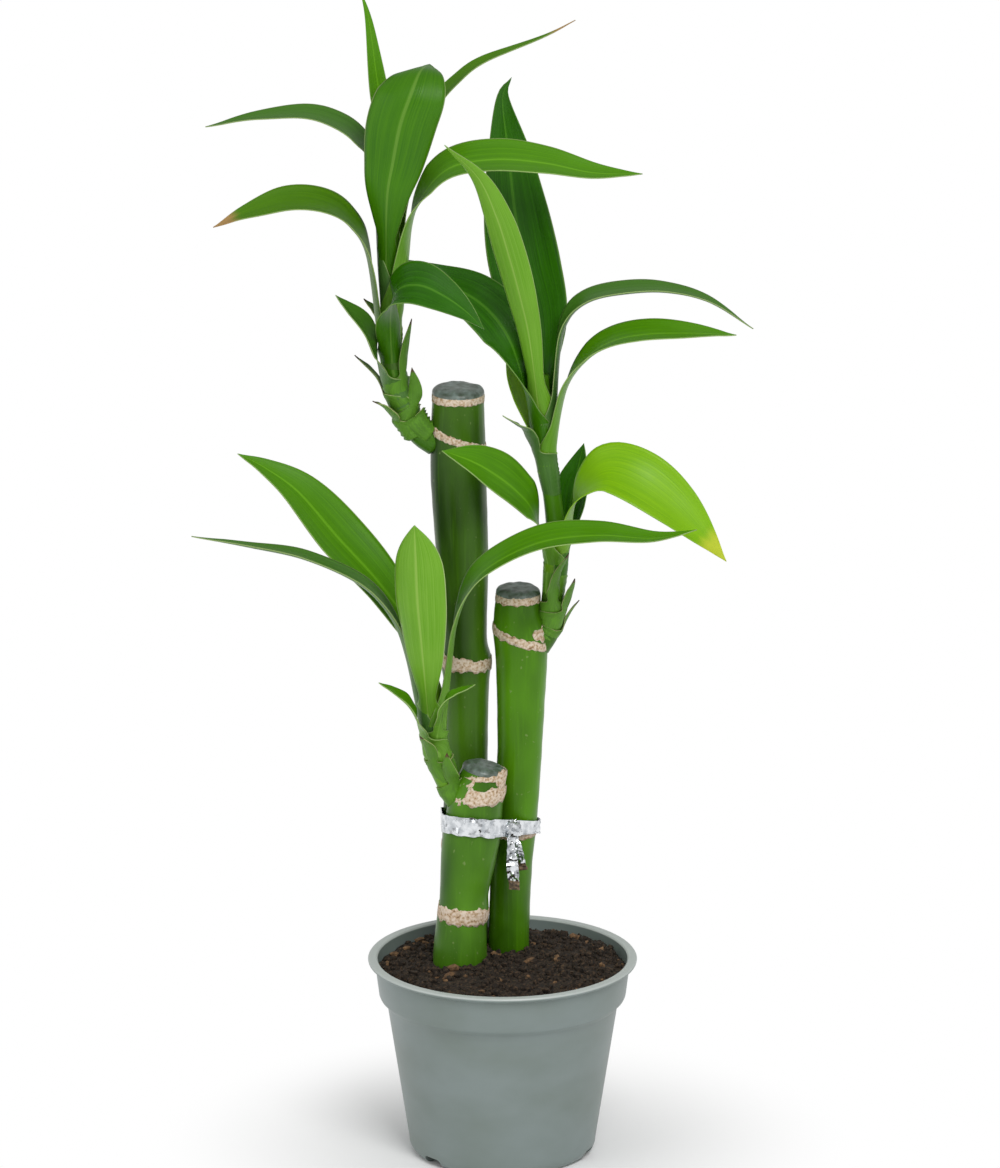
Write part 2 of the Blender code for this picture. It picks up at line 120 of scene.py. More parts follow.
def colour_ramp(tree: Tree, factor: Socket,
                stops: tuple[tuple[float, str], ...]) -> Socket:
    """A colour ramp through (position, hex colour) stops, fed by factor."""
    ramp = add_node(tree, "ShaderNodeValToRGB", links={"Fac": factor})
    elements = ramp.color_ramp.elements
    while len(elements) < len(stops):
        elements.new(0.5)
    for element, (position, colour) in zip(elements, stops):
        element.position = position
        element.color = linear(colour)
    return ramp.outputs["Color"]


def blend_colours(tree: Tree, factor: Socket, below: Socket,
                  above: str) -> Socket:
    """Mix a hex colour over a colour socket by factor."""
    mixed = add_node(tree, "ShaderNodeMix", {7: linear(above)}, {0: factor, 6: below}, {"data_type": "RGBA"})
    return mixed.outputs[2]


def remap(tree: Tree, value: Socket, low: float, high: float,
          to_low: float = 0.0, to_high: float = 1.0) -> Socket:
    """Map a value from one range to another, held at both ends."""
    mapped = add_node(tree, "ShaderNodeMapRange", {1: low, 2: high, 3: to_low, 4: to_high}, {0: value},
                      {"interpolation_type": "SMOOTHSTEP"})
    return mapped.outputs[0]


def stretched_noise(tree: Tree, coordinates: Socket, scale: tuple[float, float, float],
                    detail: float = 3.0) -> Socket:
    """Noise with its own scale along each axis."""
    mapping = add_node(tree, "ShaderNodeMapping", {"Scale": scale}, {"Vector": coordinates})
    texture = add_node(tree, "ShaderNodeTexNoise", {"Scale": 1.0, "Detail": detail},
                       {"Vector": mapping.outputs[0]})
    return texture.outputs[0]


def surface(name: str, roughness: float,
            gloss: float = 0.5) -> tuple[Material, Tree, Node]:
    """A new material with a Principled shader.

    Args:
        name: what the stuff is.
        roughness: from 0, polished, to 1, matt.
        gloss: strength of the clear reflection, where 0.5 is that of most plastics.
    Returns:
        The material, its node tree and its shader.
    """
    made = bpy.data.materials.new(name)
    made.use_nodes = True
    shader = made.node_tree.nodes["Principled BSDF"]
    shader.inputs["Roughness"].default_value = roughness
    shader.inputs["Specular IOR Level"].default_value = gloss
    return made, made.node_tree, shader


def add_bump(tree: Tree, shader: Node, height: Socket, depth_mm: float,
             strength: float = 0.6) -> None:
    """Drive the shader's normal from a height socket."""
    bump = add_node(tree, "ShaderNodeBump", {"Strength": strength, "Distance": depth_mm * MM},
                    {"Height": height})
    tree.links.new(bump.outputs[0], shader.inputs["Normal"])


@dataclass(frozen=True)
class LeafSkin:
    """One side of a waxy dracaena leaf: parallel veins, a pale thin margin and, on some, a dry tip."""
    name: str
    colour: str
    vein: str
    margin: str = "#b9c98a"
    tip: str = ""
    tip_start: float = 0.93
    roughness: float = 0.42
    rib: str = ""

    def material(self) -> Material:
        """The skin's material, made once."""
        if self.name in bpy.data.materials:
            return bpy.data.materials[self.name]
        made, tree, shader = surface(self.name, self.roughness, PLANT_GLOSS)
        uv = add_node(tree, "ShaderNodeTexCoord").outputs["UV"]
        split = add_node(tree, "ShaderNodeSeparateXYZ", links={0: uv})
        along, across = split.outputs[0], split.outputs[1]
        veins = stretched_noise(tree, uv, (2.5, 42.0, 1.0))
        patches = stretched_noise(tree, uv, (5.0, 2.2, 1.0))
        colour = colour_ramp(tree, veins, ((0.3, self.vein), (0.66, self.colour)))
        light = remap(tree, patches, 0.4, 0.75, 0.0, 0.5)
        colour = blend_colours(tree, light, colour, self.colour)
        off_rib = calculate(tree, "ABSOLUTE", calculate(tree, "SUBTRACT", across, 0.5))
        if self.rib:
            rib = remap(tree, off_rib, 0.012, 0.035, 0.75, 0.0)
            colour = blend_colours(tree, rib, colour, self.rib)
        edge = remap(tree, off_rib, 0.478, 0.498, 0.0, 0.5)
        colour = blend_colours(tree, edge, colour, self.margin)
        if self.tip:
            ragged = calculate(tree, "MULTIPLY_ADD", patches, 0.06, along)
            dry = remap(tree, ragged, self.tip_start, self.tip_start + 0.05)
            colour = blend_colours(tree, dry, colour, self.tip)
        tree.links.new(colour, shader.inputs["Base Color"])
        tree.links.new(remap(tree, patches, 0.3, 0.8, self.roughness - 0.08, self.roughness + 0.1),
                       shader.inputs["Roughness"])
        add_bump(tree, shader, veins, 0.25, 0.35)
        return made


class LeafTone(Enum):
    """Upper and under skins that a leaf can have."""
    FRESH = (LeafSkin("leaf_upper_fresh", "#569404", "#437d02", rib="#6fae1c"),
             LeafSkin("leaf_under_fresh", "#6da231", "#588c1c", rib="#86b84a"))
    DEEP = (LeafSkin("leaf_upper_deep", "#316e03", "#1f5200", "#8fb060", roughness=0.3, rib="#4f8a1e"),
            LeafSkin("leaf_under_deep", "#447d01", "#316a00", rib="#669431"))
    PALE = (LeafSkin("leaf_upper_pale", "#5f9a1c", "#4c8410"),
            LeafSkin("leaf_under_pale", "#78ac34", "#5f9a10", "#d7dfae", rib="#93bb50"))
    SAGE = (LeafSkin("leaf_upper_sage", "#4b7d24", "#3c6c18", roughness=0.36),
            LeafSkin("leaf_under_sage", "#557f3a", "#456f2c"))
    DRY_TIP = (LeafSkin("leaf_upper_dry_tip", "#508302", "#3d6e02", tip="#a58450"),
               LeafSkin("leaf_under_dry_tip", "#557d2c", "#446c20", tip="#8a6c44"))
    BRIGHT = (LeafSkin("leaf_upper_bright", "#85bb07", "#6fa806", "#a0cb4f", tip="#b9c832", tip_start=0.9),
              LeafSkin("leaf_under_bright", "#79ad22", "#649814"))
    SCALE = (LeafSkin("scale_upper", "#527c22", "#3f661a", "#c9c98f", tip="#4a3b22", roughness=0.5),
             LeafSkin("scale_under", "#5f9426", "#4a7424", "#d6d6a8", tip="#5a482c", roughness=0.5))


@dataclass(frozen=True)
class CaneSkin:
    """Living cane bark: smooth and waxy, with long faint fibres, darker clouds and pale specks."""
    name: str
    dark: str
    light: str

    def material(self) -> Material:
        """The bark's material."""
        made, tree, shader = surface(self.name, 0.34, PLANT_GLOSS)
        place = object_place(tree)
        fibres = stretched_noise(tree, place, (900.0, 900.0, 26.0), 4.0)
        clouds = stretched_noise(tree, place, (60.0, 60.0, 22.0), 2.0)
        colour = colour_ramp(tree, clouds, ((0.33, self.dark), (0.68, self.light)))
        streak = remap(tree, fibres, 0.52, 0.72, 0.0, 0.35)
        colour = blend_colours(tree, streak, colour, self.light)
        speck = remap(tree, stretched_noise(tree, place, (700.0, 700.0, 500.0), 1.0), 0.72, 0.8, 0.0, 0.5)
        colour = blend_colours(tree, speck, colour, "#8aa060")
        tree.links.new(colour, shader.inputs["Base Color"])
        add_bump(tree, shader, fibres, 0.2, 0.3)
        return made


@dataclass(frozen=True)
class Mottled:
    """A matt or glossy stuff whose colour wanders between stops at one grain size."""
    name: str
    stops: tuple[tuple[float, str], ...]
    grain_mm: float
    roughness: float
    bump_mm: float
    metallic: float = 0.0

    def material(self) -> Material:
        """The stuff's material, made once."""
        if self.name in bpy.data.materials:
            return bpy.data.materials[self.name]
        made, tree, shader = surface(self.name, self.roughness)
        shader.inputs["Metallic"].default_value = self.metallic
        place = object_place(tree)
        per_metre = 1.0 / (self.grain_mm * MM)
        grain = stretched_noise(tree, place, (per_metre, per_metre, per_metre), 5.0)
        tree.links.new(colour_ramp(tree, grain, self.stops), shader.inputs["Base Color"])
        add_bump(tree, shader, grain, self.bump_mm)
        return made


# Peat and fine bark: nearly black where damp, with brown fibre ends
SOIL = Mottled("potting_mix_peat", ((0.3, "#15100b"), (0.52, "#2e241a"), (0.72, "#57432f")), 0.9, 0.95, 0.6)
# Dry wood and bark chips in the mix
CHIP = Mottled("bark_chip", ((0.3, "#4a3524"), (0.7, "#8a6a48")), 1.2, 0.9, 0.3)
# Corky scar tissue where a leaf sheath was torn off: tan with dark pits
SCAR = Mottled("corky_leaf_scar", ((0.27, "#6d5238"), (0.38, "#b89a76"), (0.58, "#decdba")), 0.9, 0.85, 0.12)
# Sealing wax: brushed on hot, so it is glossy and lumpy
WAX = Mottled("grafting_wax", ((0.35, "#4a5448"), (0.7, "#7d8b86")), 2.4, 0.32, 0.35)
# Aluminium foil, crumpled by hand
FOIL = Mottled("aluminium_foil", ((0.3, "#aeb3b8"), (0.6, "#e6e9ec")), 2.6, 0.2, 0.5, 1.0)
# Dried end of the foil strip, stained by soil
STAIN = Mottled("stained_strip_end", ((0.35, "#3b332c"), (0.65, "#8b7357")), 0.9, 0.7, 0.3)


@dataclass(frozen=True)
class PotPlastic:
    """Thermoformed polypropylene: grey-green and satin, with a highlight painted pale along the top of the
    lip.
    """
    name: str = "thermoformed_polypropylene"
    colour: str = "#818d8b"
    shade: str = "#78847f"
    # painted highlight: pale grey laid on the top of the lip bead
    lip_highlight: str = "#c3cac6"
    lip_start_mm: float = 66.6

    def material(self) -> Material:
        """The plastic's material."""
        made, tree, shader = surface(self.name, 0.42)
        place = object_place(tree)
        clouds = stretched_noise(tree, place, (35.0, 35.0, 60.0), 3.0)
        grain = stretched_noise(tree, place, (1400.0, 1400.0, 1400.0), 2.0)
        colour = colour_ramp(tree, clouds, ((0.35, self.shade), (0.65, self.colour)))
        height = add_node(tree, "ShaderNodeSeparateXYZ", links={0: place}).outputs[2]
        # painted highlight: the top millimetre of the lip is lightened towards pale grey
        lip = remap(tree, height, self.lip_start_mm * MM, (self.lip_start_mm + 0.5) * MM, 0.0, 0.85)
        colour = blend_colours(tree, lip, colour, self.lip_highlight)
        tree.links.new(colour, shader.inputs["Base Color"])
        add_bump(tree, shader, grain, 0.05, 0.25)
        return made


def curve_through(points: Route, count: int) -> list[Vector]:
    """Points evenly spaced along a smooth curve through the given ones.

    Args:
        points: (x, y, z), or with more numbers that are smoothed too.
        count: how many points to return.
    Returns:
        The points, from the first to the last.
    """
    knots = [Vector(point) for point in points]
    knots = [2 * knots[0] - knots[1], *knots, 2 * knots[-1] - knots[-2]]
    fine = []
    for before, start, end, after in zip(knots, knots[1:], knots[2:], knots[3:]):
        for step in range(12):
            t = step / 12
            bend = (2 * before - 5 * start + 4 * end - after) * t * t
            twist = (3 * start - before - 3 * end + after) * t ** 3
            fine.append(0.5 * (2 * start + (end - before) * t + bend + twist))
    fine.append(knots[-2])
    travelled = [0.0]
    for start, end in zip(fine, fine[1:]):
        travelled.append(travelled[-1] + (end.to_3d() - start.to_3d()).length)
    result = []
    place = 0
    for index in range(count):
        wanted = travelled[-1] * index / (count - 1)
        while place < len(fine) - 2 and travelled[place + 1] < wanted:
            place += 1
        step = travelled[place + 1] - travelled[place]
        result.append(fine[place].lerp(fine[place + 1], min(1.0, (wanted - travelled[place]) / step)))
    return result


def directions(path: list[Vector]) -> list[Vector]:
    """Unit direction of a path at each of its points."""
    ahead = path[1:] + [path[-1]]
    behind = [path[0]] + path[:-1]
    return [(after.to_3d() - before.to_3d()).normalized() for before, after in zip(behind, ahead)]


def grid_piece(name: str, rows: int, columns: int, place: Callable[[int, int], Vector],
               closed: bool = False) -> Piece:
    """A grid primitive whose vertices are moved to a shape.

    Args:
        name: the piece's name.
        rows: faces along the first direction.
        columns: faces along the second direction.
        place: (row, column) of a vertex to its place in millimetres. Rows cross columns towards the outside.
        closed: whether the sheet is a closed body once its touching edges are merged.
    Returns:
        The piece, smooth shaded, with a UV map that runs 0 to 1 both ways.
    """
    bpy.ops.object.select_all(action="DESELECT")
    bpy.ops.mesh.primitive_grid_add(x_subdivisions=rows, y_subdivisions=columns, size=2)
    piece = bpy.context.active_object
    piece.name = name
    piece.data.name = name
    for vertex in piece.data.vertices:
        row = round((vertex.co.x + 1) / 2 * rows)
        column = round((vertex.co.y + 1) / 2 * columns)
        vertex.co = place(row, column) * MM
    if closed:
        bpy.ops.object.mode_set(mode="EDIT")
        bpy.ops.mesh.select_all(action="SELECT")
        bpy.ops.mesh.remove_doubles(threshold=MERGE_DISTANCE)
        bpy.ops.mesh.fill_holes(sides=0)
        bpy.ops.mesh.normals_make_consistent(inside=False)
        bpy.ops.object.mode_set(mode="OBJECT")
    bpy.ops.object.shade_smooth()
    return piece


def merge_seam(piece: Piece) -> None:
    """Merge the touching edges of a sheet, so that it runs all the way round."""
    bpy.context.view_layer.objects.active = piece
    bpy.ops.object.mode_set(mode="EDIT")
    bpy.ops.mesh.select_all(action="SELECT")
    bpy.ops.mesh.remove_doubles(threshold=MERGE_DISTANCE)
    bpy.ops.object.mode_set(mode="OBJECT")


def finish_modifier(piece: Piece, kind: str, **settings: object) -> None:
    """Add a modifier to the piece and apply it."""
    bpy.ops.object.select_all(action="DESELECT")
    piece.select_set(True)
    bpy.context.view_layer.objects.active = piece
    modifier = piece.modifiers.new(kind.title(), kind)
    for name, value in settings.items():
        setattr(modifier, name, value)
    bpy.ops.object.modifier_apply(modifier=modifier.name)


def hand_over(piece: Piece, replaces: tuple[str, ...] = ()) -> None:
    """Let a piece ride on the plant and hide the frame nodes it stands for."""
    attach(piece, "root")
    if replaces:
        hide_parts(*replaces)
    LOG.info("built %s: %d faces", piece.name, len(piece.data.polygons))


def place_piece(piece: Piece, slot: str, *materials: Material, replaces: tuple[str, ...] = ()) -> None:
    """Dress a piece in these materials alone, and hand it over."""
    piece.data.materials.clear()
    for material in materials:
        piece.data.materials.append(material)
    hand_over(piece, replaces)


def lump(place: Vector, grain: float, seed: float) -> float:
    """Smooth noise from -1 to 1 at a place in millimetres."""
    return noise.noise(place / grain + Vector((seed, seed * 1.7, -seed)))


@dataclass
class Pot:
    """The nursery pot: a tapered cup with a collar, a thin lip and drain notches."""
    height: float = 67.5
    lip_radius: float = 45.0
    band_radius: float = 42.6
    band_bottom_radius: float = 41.3
    band_height: float = 13.0
    wall_top_radius: float = 38.6
    wall_bottom_radius: float = 31.3
    foot_radius: float = 28.0
    corner: float = 4.5
    wall: float = 0.9
    sides: int = 160
    notches: int = 6
    first_notch: float = 220.0
    notch_width: float = 8.0
    notch_height: float = 3.0
    notch_depth: float = 9.0
    notch_rounding: float = 1.6

    def wall_line(self, inset: float) -> list[tuple[float, float]]:
        """(radius, height) from the floor up to the collar, a distance inside the outer skin."""
        line = []
        for step in range(9):
            angle = math.pi / 2 * step / 8
            radius = self.foot_radius + (self.wall_bottom_radius - self.foot_radius) * math.sin(angle) - inset
            line.append((radius, self.corner - (self.corner - inset) * math.cos(angle)))
        shoulder = self.height - self.band_height
        for step in range(1, 8):
            part = step / 8
            radius = self.wall_bottom_radius + (self.wall_top_radius - self.wall_bottom_radius) * part
            line.append((radius - inset, self.corner + (shoulder - 3 - self.corner) * part))
        line += [(self.wall_top_radius - inset, shoulder - 3 + inset),
                 (self.wall_top_radius + 0.5 - inset, shoulder - 2.1 + inset),
                 (self.band_bottom_radius - 1.2 - inset, shoulder - 1.2 + inset),
                 (self.band_bottom_radius - 0.4 - inset, shoulder - 0.5 + inset),
                 (self.band_bottom_radius - inset, shoulder + 0.4 + inset)]
        return line

    def profile(self) -> list[tuple[float, float]]:
        """The whole section, from the axis under the floor, round the lip, to the axis inside."""
        lip = [(self.band_radius - 0.1, self.height - 3.2), (self.band_radius, self.height - 2.4),
               (self.lip_radius - 0.7, self.height - 1.6), (self.lip_radius - 0.1, self.height - 1.1),
               (self.lip_radius, self.height - 0.6), (self.lip_radius - 0.3, self.height - 0.15),
               (self.lip_radius - 0.9, self.height), (self.band_radius - 0.4, self.height - 0.1),
               (self.band_radius - 0.8, self.height - 0.5), (self.band_radius - self.wall, self.height - 1.6)]
        floor = [(0.0, 0.0), (self.foot_radius * 0.5, 0.0)]
        inside = list(reversed(self.wall_line(self.wall)))
        return [*floor, *self.wall_line(0.0), *lip, *inside,
                (self.foot_radius * 0.5, self.wall), (0.0, self.wall)]

    def build(self) -> None:
        """Model the pot and cut its drain notches."""
        profile = self.profile()

        def on_pot(row: int, column: int) -> Vector:
            turn = FULL_TURN * (column % self.sides) / self.sides
            radius, height = profile[row]
            return Vector((radius * math.cos(turn), radius * math.sin(turn), height))

        pot = grid_piece("nursery_pot", len(profile) - 1, self.sides, on_pot, closed=True)
        for index in range(self.notches):
            cutter = self.notch_cutter(math.radians(self.first_notch + 360 * index / self.notches))
            finish_modifier(pot, "BOOLEAN", operation="DIFFERENCE", object=cutter, solver="EXACT")
            bpy.data.objects.remove(cutter)
        bpy.ops.object.shade_smooth_by_angle(angle=math.radians(38))
        place_piece(pot, "pot_plastic", PotPlastic().material(), replaces=("pot",))

    def notch_cutter(self, turn: float) -> Piece:
        """A rounded block through the foot corner at one turn about the axis."""
        bpy.ops.object.select_all(action="DESELECT")
        radius = (self.foot_radius + self.wall_bottom_radius) / 2
        centre = (radius * math.cos(turn) * MM, radius * math.sin(turn) * MM, 0)
        size = (self.notch_depth * MM, self.notch_width * MM, 2 * self.notch_height * MM)
        bpy.ops.mesh.primitive_cube_add(size=1, rotation=(0, 0, turn), location=centre, scale=size)
        cutter = bpy.context.active_object
        bpy.ops.object.transform_apply(location=True, rotation=True, scale=True)
        finish_modifier(cutter, "BEVEL", width=self.notch_rounding * MM, segments=4, limit_method="NONE")
        return cutter


@dataclass
class Soil:
    """The potting mix: a lumpy crust over the frame's soil, with loose crumbs and chips on it."""
    radius: float = 41.2
    edge_height: float = 63.2
    middle_height: float = 66.8
    underside_height: float = 58.0
    rings: int = 70
    sides: int = 220
    crumbs: int = 1500
    chips: int = 70
    seed: int = 11

    def height_at(self, x: float, y: float) -> float:
        """Height of the crust over a place, in millimetres."""
        part = min(1.0, math.hypot(x, y) / self.radius)
        level = self.edge_height + (self.middle_height - self.edge_height) * (1 - part * part)
        heap = 1.5 * smooth((x + y) / 45.0) * (1 - smooth((part - 0.8) * 5))
        place = Vector((x, y, 0.0))
        rough = 1.1 * lump(place, 7.0, 3.1) + 0.8 * lump(place, 2.6, 8.4) + 0.45 * lump(place, 1.1, 1.2)
        return level + heap + rough * (1 - 0.5 * part)

    def build(self) -> None:
        """Model the crust, the crumbs and the chips."""
        def on_crust(row: int, column: int) -> Vector:
            turn = FULL_TURN * (column % self.sides) / self.sides
            if row == 0:
                return Vector((0, 0, self.underside_height))
            reach = self.radius * (1 - (row - 1) / (self.rings - 1))
            x, y = reach * math.cos(turn), reach * math.sin(turn)
            return Vector((x, y, self.height_at(x, y)))

        material = SOIL.material()
        crust = grid_piece("soil_crust", self.rings, self.sides, on_crust, closed=True)
        place_piece(crust, "potting_soil", material)
        self.dress_frame_soil(material)
        draw = random.Random(self.seed)
        crumbs = self.scatter("soil_crumbs", self.crumbs, (0.35, 1.5), 1.0, draw)
        place_piece(crumbs, "potting_soil", material)
        chips = self.scatter("soil_chips", self.chips, (0.5, 1.3), 2.4, draw)
        place_piece(chips, "potting_soil", CHIP.material())

    def dress_frame_soil(self, material: Material) -> None:
        """Give the frame's own soil the same mix, as it shows in the drain notches."""
        soil = bpy.data.objects["soil"]
        soil.data.materials.clear()
        soil.data.materials.append(material)

    def scatter(self, name: str, count: int, sizes: tuple[float, float], stretch: float,
                draw: random.Random) -> Piece:
        """Rough lumps over the crust, joined in one piece.

        Args:
            name: the piece's name.
            count: how many lumps.
            sizes: least and greatest radius in millimetres.
            stretch: length of a lump against its width.
            draw: the source of random numbers.
        Returns:
            The joined piece.
        """
        build = bmesh.new()
        for _ in range(count):
            reach = self.radius * math.sqrt(draw.random()) * 0.985
            turn = draw.uniform(0, FULL_TURN)
            x, y = reach * math.cos(turn), reach * math.sin(turn)
            size = sizes[0] + (sizes[1] - sizes[0]) * draw.random() ** 2.2
            made = bmesh.ops.create_icosphere(build, subdivisions=1, radius=size)
            lean = Vector((draw.uniform(-1, 1), draw.uniform(-1, 1), draw.uniform(-0.3, 0.3))).normalized()
            centre = Vector((x, y, self.height_at(x, y) + size * 0.35))
            for vertex in made["verts"]:
                wobble = 1 + 0.35 * draw.uniform(-1, 1)
                vertex.co = vertex.co * wobble + lean * vertex.co.dot(lean) * (stretch - 1)
                vertex.co = (vertex.co + centre) * MM
        mesh = bpy.data.meshes.new(name)
        build.to_mesh(mesh)
        build.free()
        piece = bpy.data.objects.new(name, mesh)
        bpy.context.scene.collection.objects.link(piece)
        return piece


@dataclass
class Cane:
    """A cut cane with its wax cap and its corky scars."""
    name: str
    route: Route
    skin: CaneSkin
    scars: tuple[tuple[float, ...], ...]
    sides: int = 64
    stations: int = 150
    path: list[Vector] = field(default_factory=list)

    def build(self) -> None:
        """Model the cane, its scars and its cap."""
        self.path = curve_through(self.route, self.stations)
        along = directions(self.path)

        def on_cane(row: int, column: int) -> Vector:
            return self.at(self.path[row], along[row], FULL_TURN * (column % self.sides) / self.sides)

        cane = grid_piece(f"bark_{self.name}", self.stations - 1, self.sides, on_cane, closed=True)
        place_piece(cane, "cane_green", self.skin.material(), replaces=(f"cane_{self.name}",))
        for index, scar in enumerate(self.scars):
            piece = self.scar(f"scar_{self.name}_{index}", *scar)
            place_piece(piece, "cane_green", SCAR.material())
        self.build_cap()

    def at(self, point: Vector, along: Vector, turn: float, extra: float = 0.0) -> Vector:
        """A place on the bark at a point of the cane, turned about it from +X."""
        across = Vector((0, 1, 0)).cross(along).normalized()
        forward = along.cross(across)
        outward = across * math.cos(turn) + forward * math.sin(turn)
        place = point.to_3d() + outward * point[3]
        return place + outward * (extra + 0.12 * lump(place, 5.0, 2.0) * min(1.0, point[3] / 4))

    def scar(self, name: str, height: float, width: float, slant: float, middle: float, span: float,
             ragged: float) -> Piece:
        """A ragged band of cork round part or all of the cane.

        Args:
            name: the piece's name.
            height: of the band's middle, in millimetres.
            width: of the band, in millimetres.
            slant: how much the band drops from the cane's -X side to its +X side.
            middle: turn about the cane of the band's middle, in degrees from +X.
            span: degrees that the band covers.
            ragged: how far its edges wander, in millimetres.
        Returns:
            The band, with its thickness.
        """
        rows = 6
        columns = max(16, round(span / 3))
        whole = span == 360

        def on_scar(row: int, column: int) -> Vector:
            turn = math.radians(middle + span * (column / columns - 0.5))
            if whole and column == columns:
                turn = math.radians(middle - span * 0.5)
            taper = 1.0 if whole else math.sin(math.pi * column / columns) ** 0.5
            edge = (row / rows - 0.5) * 2
            circle = Vector((math.cos(turn), math.sin(turn), 0)) * 8
            spot = circle + Vector((0, 0, edge * 9 + height))
            wander = ragged * (lump(spot, 2.2, 5.0) + 0.6 * lump(spot, 0.8, 2.0))
            z = height - slant * math.cos(turn) / 2 + edge * width / 2 * taper + wander * abs(edge)
            point = min(self.path, key=lambda stop: abs(stop.z - z)).copy()
            point.z = z
            crown = 0.12 * (1 - edge * edge) + 0.02
            return self.at(point, Vector((0, 0, 1)), turn, crown)

        piece = grid_piece(name, rows, columns, on_scar)
        if whole:
            merge_seam(piece)
        finish_modifier(piece, "SOLIDIFY", thickness=0.3 * MM, offset=0.0)
        return piece

    def build_cap(self) -> None:
        """Model the wax: a lumpy dome over the cut, a little wider than the cane."""
        top, along = self.path[-1], directions(self.path)[-1]
        rows, sides = 14, 48

        def on_cap(row: int, column: int) -> Vector:
            turn = FULL_TURN * (column % sides) / sides
            part = row / rows
            bend = smooth(part * 1.15)
            spread = 1.03 * math.cos(math.pi / 2 * max(0.0, (part - 0.28) / 0.72)) ** 0.55
            rise = -0.5 + 2.7 * bend
            place = self.at(Vector((*(top.to_3d() + along * rise), top[3] * spread)), along, turn)
            return place + along * (0.5 * lump(place, 3.0, 7.0) * bend - 0.25 * part)

        cap = grid_piece(f"wax_{self.name}", rows, sides, on_cap, closed=True)
        place_piece(cap, "sealing_wax", WAX.material(), replaces=(f"wax_cap_{self.name}",))


@dataclass
class Shoot:
    """A side shoot: its stem, which the sheaths of its leaves wrap."""
    name: str
    route: Route
    skin: CaneSkin
    stations: int = 60
    sides: int = 28
    path: list[Vector] = field(default_factory=list)

    def build(self) -> None:
        """Model the stem."""
        self.path = curve_through(self.route, self.stations)
        along = directions(self.path)

        def on_stem(row: int, column: int) -> Vector:
            turn = FULL_TURN * (column % self.sides) / self.sides
            across = Vector((0, 1, 0)).cross(along[row]).normalized()
            outward = across * math.cos(turn) + along[row].cross(across) * math.sin(turn)
            point = self.path[row]
            return point.to_3d() + outward * (point[3] * 0.93)

        stem = grid_piece(f"stem_{self.name}", self.stations - 1, self.sides, on_stem, closed=True)
        place_piece(stem, "shoot_green", self.skin.material(), replaces=(f"shoot_{self.name}",))

    def place(self, height: float) -> Vector:
        """Centre and radius of the stem at a height."""
        return min(self.path, key=lambda point: abs(point[2] - height))


